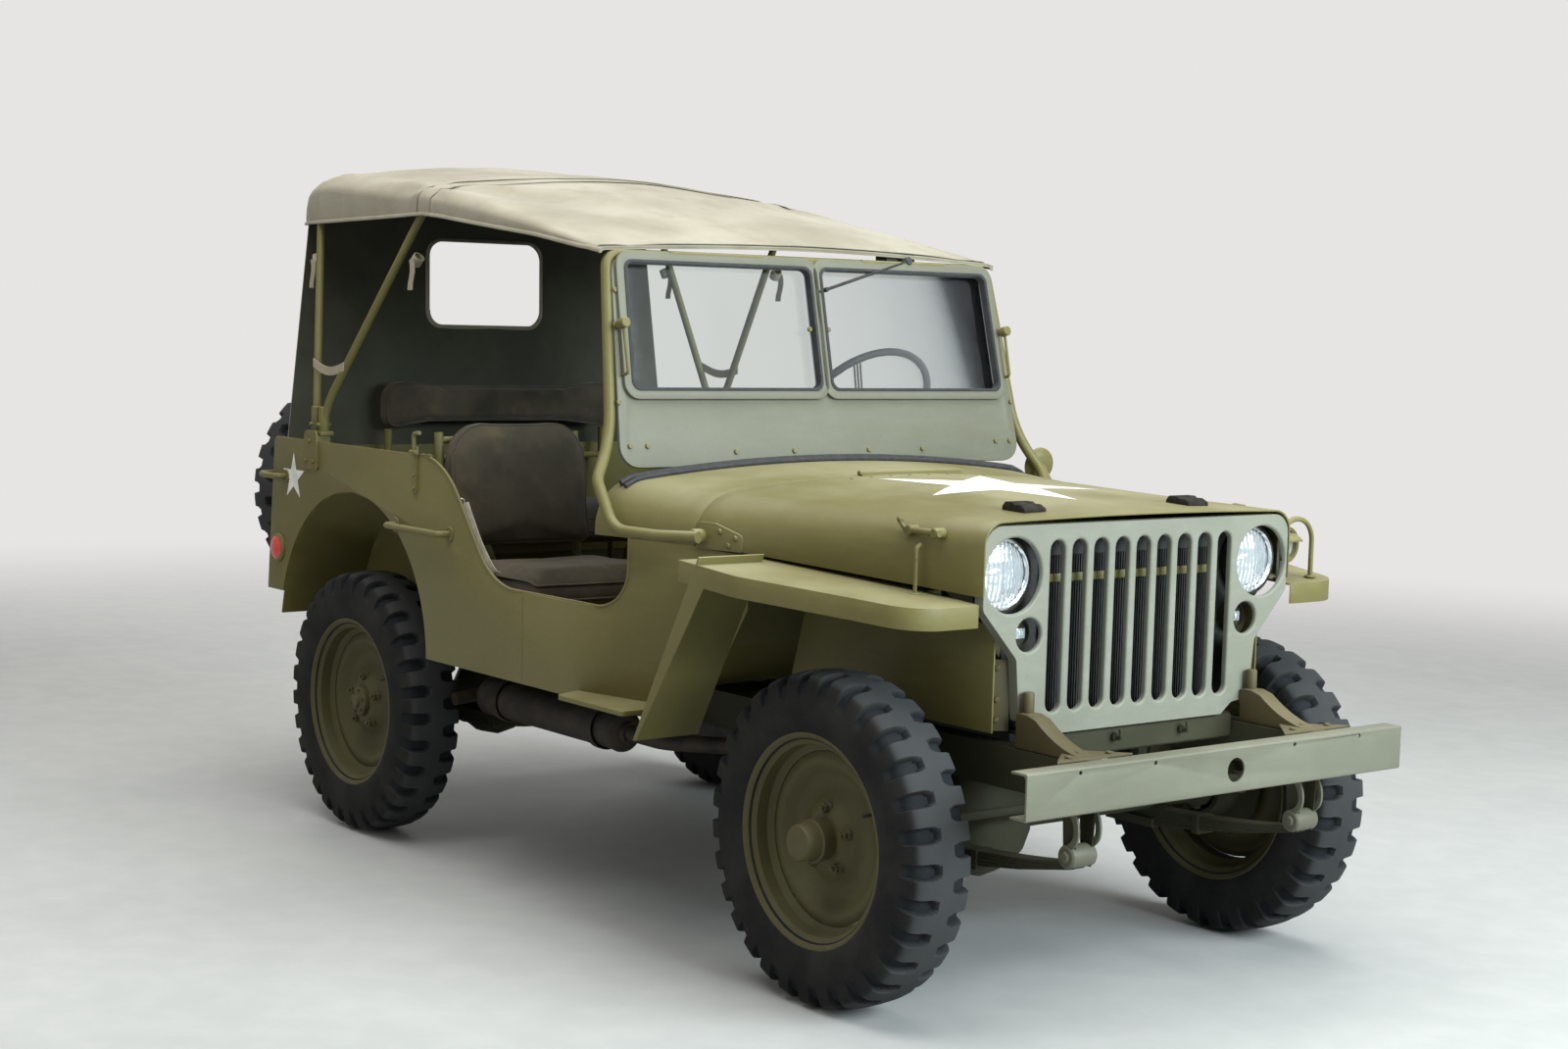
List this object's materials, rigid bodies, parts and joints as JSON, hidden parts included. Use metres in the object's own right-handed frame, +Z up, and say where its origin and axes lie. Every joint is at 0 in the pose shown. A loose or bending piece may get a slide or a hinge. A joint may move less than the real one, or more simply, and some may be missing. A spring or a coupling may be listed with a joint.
{
  "type": "army 4x4 car",
  "caption": "Open-bodied light army 4x4 car with flat slotted grille, folding canvas top, bucket-style seats and a spare wheel on the tail.",
  "frame": {"origin": "on the ground under the centre of the car's outline", "axes": "+X forward, +Y to the car's left, +Z up"},
  "size_m": [3.29, 1.574, 1.866],
  "materials": {
    "olive_drab": "matte",
    "olive_drab_chassis": "matte",
    "tyre_rubber": "matte",
    "khaki_canvas": "matte",
    "seat_canvas": "matte",
    "window_glass": "gloss",
    "lamp_glass": "gloss",
    "exhaust_steel": "matte",
    "cast_iron": "matte"
  },
  "bodies": {
    "chassis": {"front_bumper": "olive_drab", "side_panel_right": "olive_drab", "side_panel_left": "olive_drab", "wheel_house_right": "olive_drab", "wheel_house_left": "olive_drab", "floor_pan": "olive_drab", "rear_panel": "olive_drab", "cowl": "olive_drab", "grille": "olive_drab", "fender_right": "olive_drab", "fender_left": "olive_drab", "windscreen_frame": "olive_drab", "steering_column": "olive_drab", "seat_frame_right": "olive_drab", "seat_frame_left": "olive_drab", "rear_seat_frame": "olive_drab", "front_bow": "olive_drab", "rear_bow": "olive_drab", "spare_wheel": "olive_drab", "frame_rail_right": "olive_drab_chassis", "frame_rail_left": "olive_drab_chassis", "front_crossmember": "olive_drab_chassis", "transmission_crossmember": "olive_drab_chassis", "middle_crossmember": "olive_drab_chassis", "rear_crossmember": "olive_drab_chassis", "front_axle": "olive_drab_chassis", "rear_axle": "olive_drab_chassis", "front_propshaft": "olive_drab_chassis", "rear_propshaft": "olive_drab_chassis", "spare_tyre": "tyre_rubber", "canvas_top": "khaki_canvas", "seat_cushion_right": "seat_canvas", "seat_cushion_left": "seat_canvas", "seat_back_right": "seat_canvas", "seat_back_left": "seat_canvas", "rear_seat_cushion": "seat_canvas", "rear_seat_back": "seat_canvas", "glass_right": "window_glass", "glass_left": "window_glass", "headlamp_right": "lamp_glass", "headlamp_left": "lamp_glass", "exhaust": "exhaust_steel", "engine_and_gearbox": "cast_iron", "radiator": "cast_iron"},
    "hood": {"hood": "olive_drab"},
    "steering_wheel": {"steering_wheel": "cast_iron"},
    "knuckle_right": {"knuckle_right": "olive_drab_chassis"},
    "knuckle_left": {"knuckle_left": "olive_drab_chassis"},
    "tie_rod": {"tie_rod": "olive_drab_chassis"},
    "wheel_front_right": {"wheel_front_right": "olive_drab", "tyre_front_right": "tyre_rubber"},
    "wheel_front_left": {"wheel_front_left": "olive_drab", "tyre_front_left": "tyre_rubber"},
    "wheel_rear_right": {"wheel_rear_right": "olive_drab", "tyre_rear_right": "tyre_rubber"},
    "wheel_rear_left": {"wheel_rear_left": "olive_drab", "tyre_rear_left": "tyre_rubber"}
  },
  "joints": [
    {"name": "hood_hinge", "type": "hinge", "parent": "chassis", "child": "hood", "pos_m": [0.5985, 0, 1.088], "axis": [0, -1, 0], "range_deg": [0, 120]},
    {"name": "steer_right", "type": "hinge", "parent": "chassis", "child": "knuckle_right", "pos_m": [1.116, -0.5, 0.3575], "axis": [0, 0, 1], "range_deg": [-26, 26]},
    {"name": "steer_left", "type": "hinge", "parent": "chassis", "child": "knuckle_left", "pos_m": [1.116, 0.5, 0.3575], "axis": [0, 0, 1], "range_deg": [-26, 26]},
    {"name": "tie_rod_pin", "type": "hinge", "parent": "knuckle_right", "child": "tie_rod", "pos_m": [1.246, -0.5, 0.4], "axis": [0, 0, 1], "range_deg": [-26, 26]},
    {"name": "steering_wheel_turn", "type": "hinge", "parent": "chassis", "child": "steering_wheel", "pos_m": [-0.02, 0.36, 1.19], "axis": [-0.8192, 0, 0.5736], "range_deg": [-364, 364]},
    {"name": "spin_front_right", "type": "hinge", "parent": "knuckle_right", "child": "wheel_front_right", "pos_m": [1.116, -0.6175, 0.3575], "axis": [0, 1, 0], "continuous": true},
    {"name": "spin_front_left", "type": "hinge", "parent": "knuckle_left", "child": "wheel_front_left", "pos_m": [1.116, 0.6175, 0.3575], "axis": [0, 1, 0], "continuous": true},
    {"name": "spin_rear_right", "type": "hinge", "parent": "chassis", "child": "wheel_rear_right", "pos_m": [-0.916, -0.6175, 0.3575], "axis": [0, 1, 0], "continuous": true},
    {"name": "spin_rear_left", "type": "hinge", "parent": "chassis", "child": "wheel_rear_left", "pos_m": [-0.916, 0.6175, 0.3575], "axis": [0, 1, 0], "continuous": true}
  ],
  "couplings": [
    {"joint": "steer_left", "follows": "steer_right", "ratio": 1},
    {"joint": "steering_wheel_turn", "follows": "steer_right", "ratio": 14},
    {"joint": "tie_rod_pin", "follows": "steer_right", "ratio": -1}
  ]
}
